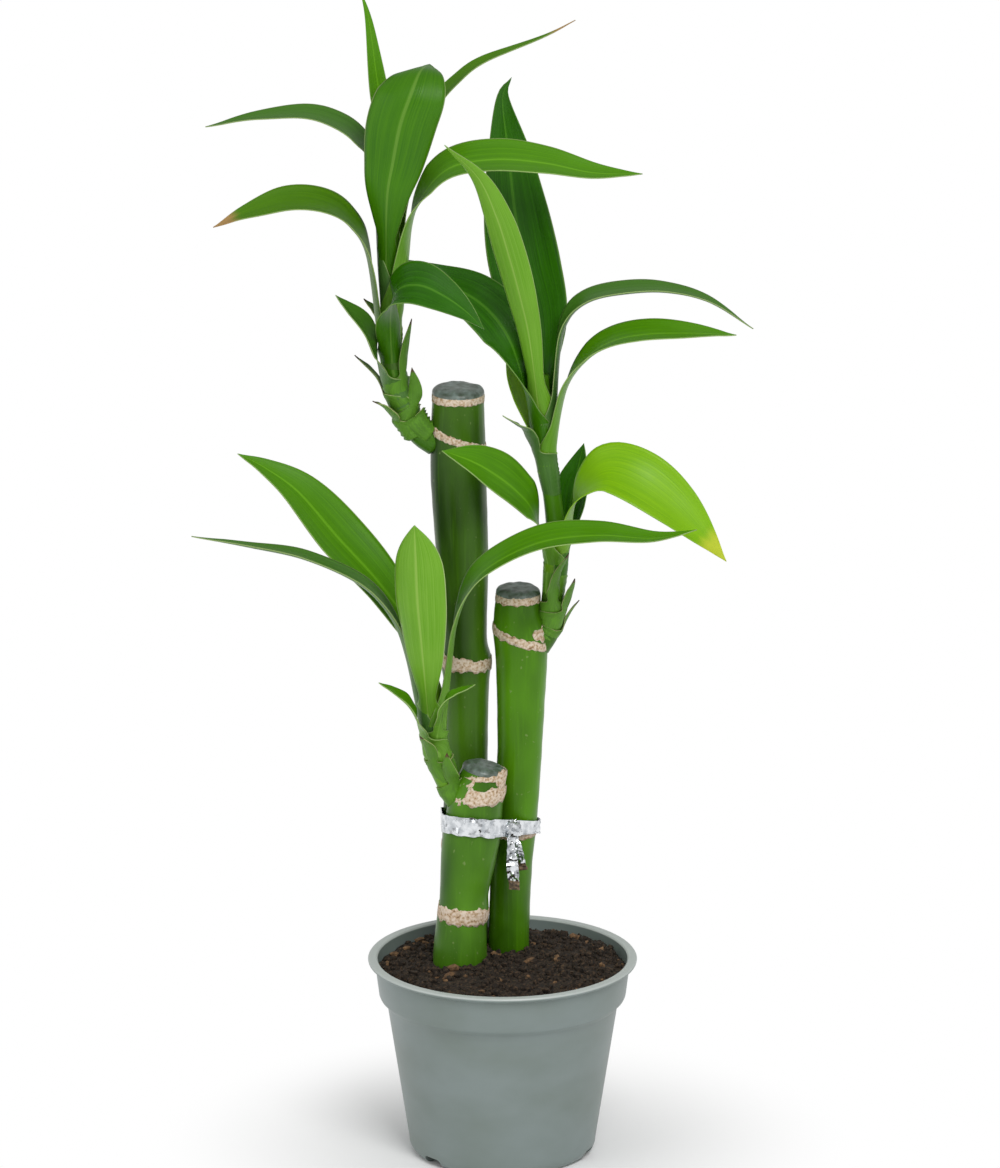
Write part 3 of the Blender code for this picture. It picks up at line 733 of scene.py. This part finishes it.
@dataclass
class Leaf:
    """A leaf: a sheath wrapped round its shoot that opens to a cupped, waved blade."""
    name: str
    height: float
    facing: float
    width: float
    roll: float
    widest: float
    points: Route
    neck: float = 0.38
    tone: LeafTone = LeafTone.FRESH
    heading: float | None = None
    taper: float = 1.8
    sheath: float = 14.0
    cup: float = 0.12
    wave: float = 0.6
    thickness: float = 0.35
    stations: int = 72
    columns: int = 16

    def build(self, shoot: Shoot) -> None:
        """Model the leaf on its shoot and dress both its sides."""
        path, opened = self.route(shoot)
        along = directions(path)
        facing = math.radians(self.facing)
        travel = (path[-1] - path[opened]).to_2d()
        heading = math.atan2(travel.y, travel.x) if self.heading is None else math.radians(self.heading)
        swing = (heading - facing + math.pi) % FULL_TURN - math.pi
        seed = self.height * 0.37 + self.facing * 0.11
        wraps = [(point - shoot.place(point.z).to_3d()).length for point in path[:opened + 1]]
        wraps += [wraps[-1]] * (len(path) - len(wraps))

        def on_leaf(row: int, column: int) -> Vector:
            part = (row - opened) / (self.stations - opened)
            settled = min(1.0, max(0.0, part / 0.4))
            azimuth = facing + swing * settled
            side = Vector((-math.sin(azimuth), math.cos(azimuth), 0))
            side = (side - along[row] * side.dot(along[row])).normalized()
            upper = along[row].cross(side)
            roll = math.radians(self.roll) * settled
            side, upper = (side * math.cos(roll) + upper * math.sin(roll),
                           upper * math.cos(roll) - side * math.sin(roll))
            half, bend = self.half_width(part, wraps[row]), self.bend(part, wraps[row])
            across = 2 * column / self.columns - 1
            reach = half * across
            inward = (1 - math.cos(bend * reach)) / bend
            flutter = self.wave * across * abs(across) * smooth(part * 3) * smooth((1 - part) * 4)
            ripple = flutter * lump(Vector((part * 5, across * 0.6, 0)), 1.0, seed)
            return path[row] + side * (math.sin(bend * reach) / bend) + upper * (inward + ripple)

        leaf = grid_piece(f"foliage_{self.name}", self.stations, self.columns, on_leaf)
        skins = [skin.material() for skin in self.tone.value]
        for skin in skins:
            leaf.data.materials.append(skin)
        finish_modifier(leaf, "SOLIDIFY", thickness=self.thickness * MM, offset=0.0, material_offset=1)
        kind, slot = ("scale", "scale_leaf") if self.tone is LeafTone.SCALE else ("leaf", "leaf_green")
        hand_over(leaf, (f"{kind}_{self.name.removeprefix('scale_')}",))

    def route(self, shoot: Shoot) -> tuple[list[Vector], int]:
        """The midrib from the foot of the sheath to the tip, and the row where the sheath opens."""
        facing = math.radians(self.facing)
        outward = Vector((math.cos(facing), math.sin(facing), 0))
        foot = []
        for drop in (1.0, 0.5, 0.0):
            place = shoot.place(self.height - self.sheath * drop)
            foot.append(place.to_3d() + outward * (place[3] + 0.6 - 1.1 * drop))
        stops = (*(tuple(point) for point in foot), *self.points)
        path = curve_through(stops, self.stations + 1)
        opened = min(range(len(path)), key=lambda row: (path[row] - foot[-1]).length)
        return path, opened

    def half_width(self, part: float, wrap: float) -> float:
        """Half the width across the leaf, in millimetres.

        Args:
            part: place along the blade, from 0 where it leaves the shoot to 1 at the tip.
            wrap: radius of the sheath there, in millimetres.
        Returns:
            Half the width, measured over the curve.
        """
        if part < self.widest:
            rise = math.sin(math.pi / 2 * max(0.0, part) / self.widest) ** 1.5
            blade = self.neck + (1 - self.neck) * rise
        else:
            blade = max(0.004, 1 - ((part - self.widest) / (1 - self.widest)) ** self.taper) ** 1.1
        half = blade * self.width / 2
        sheath = wrap * math.radians(150 - 60 * smooth(part * 8 + 1))
        return sheath + (half - sheath) * smooth((part + 0.04) / 0.16)

    def bend(self, part: float, wrap: float) -> float:
        """Curvature across the leaf, per millimetre, at a part of the blade with a sheath of radius wrap."""
        flat = 4 * self.cup / max(2.0, self.half_width(part, wrap))
        return 1 / wrap + (flat - 1 / wrap) * smooth((part + 0.02) / 0.22)


@dataclass
class FoilTie:
    """The foil tie: a crumpled band round the canes, a twisted knot and two tails."""
    height: float = 112.9
    tilt: tuple[float, float] = (-0.085, -0.22)
    width: float = 6.4
    columns: int = 200
    rows: int = 8
    clearance: float = 0.5
    tails: tuple[Route, ...] = (((3.4, -2.4, 113), (2.8, -3.2, 108), (3.4, -3.6, 99), (4, -3.2, 92)),
                                ((3.6, -1.8, 112), (4.6, -1.8, 107), (5.6, -1.4, 102), (6.6, -1, 98)))
    knot: tuple[float, float, float] = (3.3, -1.4, 112.5)

    def build(self, canes: list[Cane]) -> None:
        """Model the band, the knot and the tails."""
        foil = FOIL.material()
        touched = [min(cane.path, key=lambda point: abs(point.z - self.height)) for cane in canes]

        def on_band(row: int, column: int) -> Vector:
            turn = FULL_TURN * (column % self.columns) / self.columns
            outward = Vector((math.cos(turn), math.sin(turn), 0))
            cane = max(touched, key=lambda point: point.to_3d().dot(outward) + point[3])
            place = Vector((cane.x, cane.y, 0)) + outward * (cane[3] + self.clearance)
            middle = self.height + place.x * self.tilt[0] + place.y * self.tilt[1]
            pinch = 1 - 0.35 * math.exp(-((place.x - self.knot[0]) ** 2 + (place.y - self.knot[1]) ** 2) / 20)
            rope = 1 - 0.25 * smooth((place.x - 4) / 6)
            edge = row / self.rows - 0.5
            spot = Vector((place.x, place.y, edge * 6))
            crumple = 0.55 * lump(spot, 2.1, 4.0) + 0.35 * lump(spot, 0.9, 6.0)
            place += outward * (0.35 + crumple * 0.8)
            place.z = middle + edge * self.width * pinch * rope + 0.5 * lump(spot, 3.0, 9.0)
            return place

        band = grid_piece("foil_band", self.rows, self.columns, on_band)
        merge_seam(band)
        finish_modifier(band, "SOLIDIFY", thickness=0.15 * MM, offset=0.0)
        bpy.ops.object.shade_smooth_by_angle(angle=math.radians(18))
        place_piece(band, "silver_foil", foil, replaces=("foil_tie",))
        self.build_knot(foil)
        for index, tail in enumerate(self.tails):
            self.build_tail(index, tail, foil)

    def build_knot(self, foil: Material) -> None:
        """Model the knot as a creased lump of foil."""
        rows, sides = 14, 26
        centre = Vector(self.knot)

        def on_knot(row: int, column: int) -> Vector:
            tilt = math.pi * row / rows
            turn = FULL_TURN * (column % sides) / sides
            outward = Vector((math.sin(tilt) * math.cos(turn), math.sin(tilt) * math.sin(turn),
                              -math.cos(tilt)))
            crease = 1 + 0.3 * lump(outward * 3, 0.9, 2.0) + 0.18 * lump(outward * 3, 0.4, 5.0)
            return centre + Vector((outward.x * 3.0, outward.y * 2.3, outward.z * 3.2)) * crease

        knot = grid_piece("foil_knot", rows, sides, on_knot, closed=True)
        bpy.ops.object.shade_smooth_by_angle(angle=math.radians(20))
        place_piece(knot, "silver_foil", foil)

    def build_tail(self, index: int, tail: Route, foil: Material) -> None:
        """Model one tail: a creased ribbon with a stained end."""
        stations, columns = 34, 6
        path = curve_through(tail, stations + 1)
        along = directions(path)

        def on_tail(row: int, column: int) -> Vector:
            part = row / stations
            twist = 0.5 * math.sin(part * 5 + index)
            side = Vector((math.cos(twist), math.sin(twist), 0))
            side = (side - along[row] * side.dot(along[row])).normalized()
            upper = along[row].cross(side)
            across = column / columns - 0.5
            half = 1.5 + 1.0 * smooth(part * 1.4)
            spot = Vector((across * 3, part * 20, index * 9))
            return path[row] + side * (across * 2 * half * 0.8) + upper * (0.9 * lump(spot, 1.3, 3.0))

        ribbon = grid_piece(f"foil_tail_{index}", stations, columns, on_tail)
        finish_modifier(ribbon, "SOLIDIFY", thickness=0.18 * MM, offset=0.0)
        bpy.ops.object.shade_smooth_by_angle(angle=math.radians(20))
        place_piece(ribbon, "silver_foil", foil, STAIN.material())
        lowest = min(vertex.co.z for vertex in ribbon.data.vertices)
        for face in ribbon.data.polygons:
            if face.center.z < lowest + 3.2 * MM:
                face.material_index = 1


# Routes are (x, y, z), or (x, y, z, radius), in millimetres, and repeat the solids' own. A scar is its
# height, width, slant, middle, span and raggedness, as Cane.scar takes them.
CANES = (
    Cane("tall", ((-13.5, 18, 22, 8.2), (-13.2, 18, 64, 8.4), (-13, 18, 100, 7.4), (-12.5, 18, 112, 7.3),
                  (-12, 18, 145, 7.2), (-12, 18, 158, 7.6), (-12.2, 18, 166, 8.5), (-12.6, 18, 174, 7.4),
                  (-13.3, 18, 200, 8.6), (-14.5, 18, 226, 9.2), (-14.8, 18, 243, 9.1),
                  (-14.7, 18, 258.7, 8.4)),
         CaneSkin("cane_bark_tall", "#23400a", "#4c7a14"),
         ((257.2, 2.6, 0, 270, 360, 0.7), (243.5, 3.2, 6, 250, 230, 1.0), (166, 4.2, 1.5, 270, 360, 1.2),
          (165, 3.0, 0, 225, 110, 1.2), (101, 2.6, 0, 200, 150, 0.8))),
    Cane("middle", ((2, 12.5, 22, 6.8), (2, 12.5, 64, 6.8), (3, 12.5, 95, 6.9), (4.3, 12.5, 112, 7.3),
                    (5.6, 12.5, 133, 7.4), (6.1, 12.5, 153, 8.0), (6.3, 12.5, 170, 8.7),
                    (5.6, 12.5, 178, 8.8), (5, 12.5, 184, 7.8), (5.2, 12.5, 191, 7.2)),
         CaneSkin("cane_bark_middle", "#376306", "#5a9608"),
         ((189.5, 2.4, 0, 270, 360, 0.6), (175.8, 3.0, 6, 270, 360, 1.1), (178, 5.0, 0, 330, 60, 1.4),
          (107.5, 1.8, 0, 270, 360, 0.5))),
    Cane("short", ((-14.5, -1, 22, 8.6), (-14.2, -1, 64, 9.0), (-13.8, -0.5, 78, 8.5), (-13, 0, 84, 8.4),
                   (-12.7, 0, 91, 8.2), (-11.4, 0, 102, 9.2), (-10, 0, 112, 9.6), (-8.9, 0, 121, 9.0),
                   (-7.6, 0, 126, 8.6), (-6, 0, 133, 7.3)),
         CaneSkin("cane_bark_short", "#315a0c", "#568c18"),
         ((131.8, 1.8, 0, 270, 360, 0.6), (125.5, 5.6, 0, 268, 300, 1.1), (131, 7.0, 0, 325, 46, 1.2),
          (130.5, 4.5, 0, 225, 50, 1.2), (83.5, 5.4, 1.5, 262, 300, 1.2), (83, 1.6, 0, 270, 360, 0.5))),
)

SHOOTS = {
    "tall": Shoot("tall", ((-22, 17, 241, 4.6), (-27, 17, 245, 4.8), (-32, 17, 252, 4.6),
                           (-35.5, 17, 263, 4.2), (-37, 17, 278, 3.7), (-37, 17, 294, 3.6),
                           (-37, 17, 310, 3.3), (-37, 17, 320, 2.6)),
                  CaneSkin("shoot_skin_tall", "#3c6c0c", "#5c9420")),
    "middle": Shoot("middle", ((12, 12.5, 172, 4.2), (15.5, 12.5, 179, 4.3), (17, 12.5, 192, 4.0),
                               (18, 12.5, 207, 3.7), (16.8, 12.5, 222, 3.3), (14.4, 12.5, 238, 3.4),
                               (13.2, 12.5, 252, 3.8), (12.8, 12.5, 266, 2.8)),
                    CaneSkin("shoot_skin_middle", "#335c06", "#56901a")),
    "short": Shoot("short", ((-15, 0, 122, 4.2), (-18.5, -0.5, 130, 4.4), (-21.5, -1.5, 138, 4.4),
                             (-23, -2, 148, 4.0), (-23.8, -2, 158, 3.7), (-24, -2, 166, 2.8)),
                   CaneSkin("shoot_skin_short", "#54881a", "#6a9e1a")),
}

LEAVES = (
    Leaf("tall_top", 312, 110, 8, 0, 0.35, ((-38, 21, 344), (-41, 22, 362), (-44, 23, 384), (-47, 24, 395)),
         heading=100),
    Leaf("tall_wide", 304, 250, 24, 0, 0.66, ((-38, 5, 328), (-36, 4, 341), (-33.5, 3, 354), (-30, 4, 364),
                                              (-27, 10, 370), (-24, 20, 370)), 0.15, LeafTone.DEEP,
         heading=262, taper=2.8),
    Leaf("tall_back_right", 308, 60, 13, 20, 0.28,
         ((-31, 25, 341), (-23, 26, 354), (-15, 26, 363), (-6, 26, 370), (14, 27, 378), (24, 28, 383)),
         tone=LeafTone.DRY_TIP, taper=0.75),
    Leaf("tall_right_arch", 288, 300, 18, 23, 0.6,
         ((-30.5, 13, 315), (-26, 11, 328), (-17, 8, 338), (-2, 7, 341), (14, 6, 340), (30, 5, 337),
          (46, 4, 337))),
    Leaf("tall_high_left", 302, 175, 15, -8, 0.5,
         ((-43, 21, 335), (-48, 22, 344), (-55, 23, 349), (-66, 23, 352), (-82, 23, 351), (-98, 23, 348)),
         tone=LeafTone.SAGE),
    Leaf("tall_low_left", 278, 195, 17, -22, 0.55,
         ((-45, 11, 308), (-51, 8, 320), (-59, 5, 326), (-71, 2, 328), (-84, -1, 325), (-95, -4, 321)),
         tone=LeafTone.DRY_TIP),
    Leaf("tall_front", 272, 270, 17, 50, 0.5,
         ((-37, 4, 290), (-34, -1, 299), (-27, -7, 302), (-19, -13, 300), (-12, -17, 296), (-6, -21, 291)),
         tone=LeafTone.DEEP),
    Leaf("tall_short_left", 264, 225, 12, -45, 0.55,
         ((-43, 7, 277), (-46, 5, 285), (-51, 4, 291), (-55, 3, 296)), tone=LeafTone.SAGE),
    Leaf("middle_tall_back", 258, 85, 25, 0, 0.42,
         ((12, 25, 281), (7, 29, 299), (4, 32, 317), (2, 35, 335), (0, 37, 354), (3, 38, 361)),
         tone=LeafTone.DEEP, heading=100),
    Leaf("middle_front", 254, 255, 12, 35, 0.55,
         ((9, 5, 280), (6, 2, 295), (2, -1, 311), (-2, -5, 325), (-8, -8, 339), (-19, -12, 351)),
         tone=LeafTone.PALE),
    Leaf("middle_left_dark", 250, 218, 20, -40, 0.5,
         ((5, 9, 271), (0, 13, 282), (-9, 19, 290), (-22, 25, 295), (-37, 28, 302)), tone=LeafTone.DEEP),
    Leaf("middle_right_high", 250, 345, 15, 0, 0.55,
         ((19, 11, 274), (22, 11, 286), (29, 12, 292), (41, 14, 294), (54, 15, 294), (68, 17, 290),
          (83, 19, 280)), tone=LeafTone.SAGE),
    Leaf("middle_right_low", 243, 335, 17, 12, 0.6,
         ((21, 8, 262), (28, 5, 274), (36, 3, 280), (47, 1, 283), (62, -1, 284), (77, -3, 284))),
    Leaf("middle_inner", 244, 140, 12, 0, 0.5, ((7, 19, 257), (4, 22, 266), (3, 24, 276)),
         tone=LeafTone.BRIGHT),
    Leaf("middle_curl", 238, 225, 8, 0, 0.5, ((8, 6, 248), (5, 4, 251), (0, 2, 255)), tone=LeafTone.SAGE),
    Leaf("middle_low_left", 204, 225, 19, -52, 0.6,
         ((10, 4, 221), (5, 0, 229), (-2, -4, 236), (-10, -8, 242), (-20, -12, 247))),
    Leaf("middle_low_right", 207, 322, 21, 42, 0.55,
         ((24, 4, 224), (29, 1, 233), (36, -1, 237), (46, -4, 234), (57, -6, 226), (67, -8, 216),
          (74, -9, 208)), tone=LeafTone.BRIGHT),
    Leaf("middle_low_back", 206, 50, 13, 20, 0.5, ((23, 18, 222), (25, 20, 231), (27, 21, 240)),
         tone=LeafTone.DEEP),
    Leaf("short_long_left", 150, 192, 15, 4, 0.5,
         ((-32, -1, 172), (-37, -1, 186), (-47, -2, 198), (-65, -3, 207), (-84, -2, 211), (-103, 0, 214)),
         tone=LeafTone.SAGE),
    Leaf("short_broad_left", 155, 105, 21, -30, 0.6,
         ((-27, 10, 172), (-34, 13, 184), (-43, 14, 196), (-55, 16, 209), (-68, 18, 224), (-79, 19, 232),
          (-88, 19, 237)), 0.25),
    Leaf("short_centre", 154, 255, 20, 0, 0.65,
         ((-26, -13, 172), (-27, -15, 184), (-28, -16, 196), (-28.5, -16, 208), (-29, -14, 222)), 0.2,
         LeafTone.PALE, taper=3.6),
    Leaf("short_right_arch", 150, 335, 17, 16, 0.6,
         ((-17, -5, 171), (-15, -9, 187), (-10, -12, 201), (-1, -15, 210), (14, -16, 217), (32, -16, 219),
          (50, -16, 218), (64, -16, 221))),
    Leaf("short_small_left", 144, 232, 10, -20, 0.55, ((-30, -11, 157), (-35, -12, 163), (-41, -12, 167))),
    Leaf("short_small_right", 146, 282, 7, 20, 0.6, ((-19, -13, 160), (-15, -14, 164), (-9, -14, 167))),
)


def scale_leaf(name: str, height: float, facing: float, width: float, points: Route) -> Leaf:
    """A short papery scale leaf at the foot of a shoot."""
    return Leaf(name, height, facing, width, 0, 0.4, points, tone=LeafTone.SCALE, sheath=7.0, wave=0.2,
                stations=30, columns=12)


SCALES = (
    scale_leaf("scale_tall_left_low", 249, 215, 8, ((-39, 11, 255), (-43, 9, 258))),
    scale_leaf("scale_tall_left_high", 256, 158, 5, ((-42, 21, 263), (-49, 19, 271))),
    scale_leaf("scale_tall_right", 254, 315, 5, ((-29, 12, 262), (-30, 11, 269))),
    scale_leaf("scale_tall_front", 264, 300, 4, ((-32, 11, 276), (-30, 10, 286))),
    scale_leaf("scale_tall_back", 280, 140, 4, ((-42, 22, 285), (-46, 24, 289))),
    scale_leaf("scale_middle_front", 188, 270, 6, ((18, 4.5, 198), (22, 4, 207))),
    scale_leaf("scale_middle_right", 184, 330, 6, ((22.5, 9, 191), (24, 8, 197))),
    scale_leaf("scale_middle_low", 178, 20, 6, ((23, 14, 184), (25.5, 13, 188))),
    scale_leaf("scale_short_low", 129, 300, 6, ((-18, -9, 136), (-18.5, -10, 142))),
    scale_leaf("scale_short_high", 136, 250, 5, ((-24.5, -10, 144), (-27.5, -14, 149))),
)


@dataclass(frozen=True)
class Lamp:
    """A square soft light, sized in metres and powered in watts."""
    name: str
    place: tuple[float, float, float]
    size: float
    power: float


@dataclass
class Studio:
    """The white floor, the soft lights and the camera."""
    target: tuple[float, float, float] = (-0.00084, 0.0, 0.19753)
    distance: float = 4.0
    elevation: float = 16.8
    lens: float = 371.96
    sensor: float = 36.0
    surround: float = 0.5
    floor_size: float = 40.0
    fade: tuple[float, float] = (0.03, 0.12)
    lamps: tuple[Lamp, ...] = (Lamp("key", (0.5, -1.5, 1.7), 0.9, 22.0),
                               Lamp("fill", (-1.6, -1.0, 0.9), 1.2, 5.0))

    def build(self) -> None:
        """Set up everything round the plant."""
        scene = bpy.context.scene
        scene.view_settings.view_transform = "Standard"
        self.add_camera(scene)
        self.add_world(scene)
        self.add_floor()
        for lamp in self.lamps:
            self.add_lamp(lamp)

    def add_camera(self, scene: bpy.types.Scene) -> None:
        """A long lens, looking slightly down at the plant's front."""
        camera = bpy.data.objects.new("camera", bpy.data.cameras.new("camera"))
        camera.data.lens = self.lens
        camera.data.sensor_width = self.sensor
        camera.data.clip_end = 100.0
        tilt = math.radians(self.elevation)
        reach = Vector((0, -math.cos(tilt), math.sin(tilt))) * self.distance
        camera.location = Vector(self.target) + reach
        camera.rotation_euler = (math.pi / 2 - tilt, 0, 0)
        scene.collection.objects.link(camera)
        scene.camera = camera

    def add_world(self, scene: bpy.types.Scene) -> None:
        """Plain white light from all round."""
        world = bpy.data.worlds.new("surround")
        world.use_nodes = True
        background = world.node_tree.nodes["Background"]
        background.inputs["Color"].default_value = (1, 1, 1, 1)
        background.inputs["Strength"].default_value = self.surround
        scene.world = world

    def add_floor(self) -> None:
        """A white floor that keeps the pot's soft shadow."""
        bpy.ops.object.select_all(action="DESELECT")
        bpy.ops.mesh.primitive_plane_add(size=self.floor_size, location=(0, 0, 0))
        floor = bpy.context.active_object
        floor.name = "studio_floor"
        floor.data.materials.append(self.paper())

    def paper(self) -> Material:
        """Matt white paper near the pot, which fades to plain white further off."""
        made, tree, shader = surface("matt_white_paper", 0.9, 0.0)
        shader.inputs["Base Color"].default_value = (1, 1, 1, 1)
        place = object_place(tree)
        reach = add_node(tree, "ShaderNodeVectorMath", links={0: place}, options={"operation": "LENGTH"})
        far = remap(tree, reach.outputs["Value"], *self.fade)
        rays = add_node(tree, "ShaderNodeLightPath").outputs
        seen = calculate(tree, "MAXIMUM", rays["Is Camera Ray"], rays["Is Glossy Ray"])
        white = calculate(tree, "MULTIPLY", far, seen)
        glow = add_node(tree, "ShaderNodeEmission", {"Strength": 1.0})
        mixed = add_node(tree, "ShaderNodeMixShader",
                         links={0: white, 1: shader.outputs[0], 2: glow.outputs[0]})
        tree.links.new(mixed.outputs[0], tree.nodes["Material Output"].inputs["Surface"])
        return made

    def add_lamp(self, lamp: Lamp) -> None:
        """Hang a lamp and aim it where the camera looks."""
        light = bpy.data.lights.new(lamp.name, "AREA")
        light.size = lamp.size
        light.energy = lamp.power
        holder = bpy.data.objects.new(lamp.name, light)
        holder.location = lamp.place
        aim = Vector(self.target) - Vector(lamp.place)
        holder.rotation_euler = aim.to_track_quat("-Z", "Y").to_euler()
        bpy.context.scene.collection.objects.link(holder)


def main() -> None:
    """Build the plant piece by piece."""
    logging.basicConfig(level=logging.INFO, format="%(name)s: %(message)s")
    Studio().build()
    Pot().build()
    Soil().build()
    for cane in CANES:
        cane.build()
    FoilTie().build(list(CANES))
    for shoot in SHOOTS.values():
        shoot.build()
    for leaf in LEAVES + SCALES:
        leaf.build(SHOOTS[leaf.name.removeprefix("scale_").split("_")[0]])


if __name__ == "__main__":
    main()
